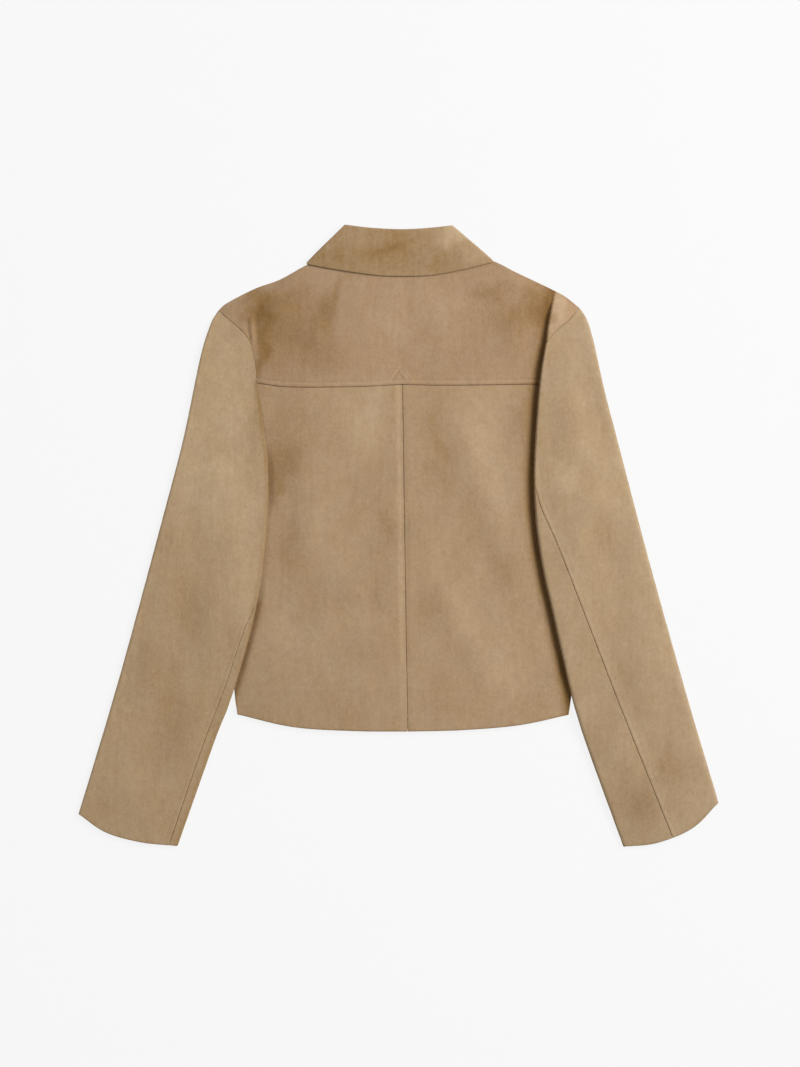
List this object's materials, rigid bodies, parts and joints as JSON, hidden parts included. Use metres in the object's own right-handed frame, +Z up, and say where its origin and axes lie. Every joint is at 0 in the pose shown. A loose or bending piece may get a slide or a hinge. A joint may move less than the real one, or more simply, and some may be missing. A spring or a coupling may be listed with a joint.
{
  "type": "suede jacket",
  "caption": "Cropped suede jacket with a turn-down collar, a back yoke and set-in sleeves, laid flat on its front with its back up.",
  "frame": {"origin": "middle of the laid jacket's outline, on the surface it lies on", "axes": "+X towards the wearer's right sleeve, +Y towards the collar, +Z up out of the surface"},
  "size_m": [0.7359, 0.7152, 0.013],
  "materials": {
    "suede": "tan suede with a soft brushed nap",
    "button": "dark brown horn-like resin"
  },
  "bodies": {
    "root": {"back_yoke": "suede", "back_left": "suede", "back_right": "suede", "front_left": "suede", "front_right": "suede", "sleeve_left_top": "suede", "sleeve_left_under": "suede", "sleeve_right_top": "suede", "sleeve_right_under": "suede", "collar_leaf": "suede", "collar_stand": "suede", "button_1": "button", "button_2": "button", "button_3": "button", "button_4": "button", "button_5": "button"}
  },
  "joints": []
}
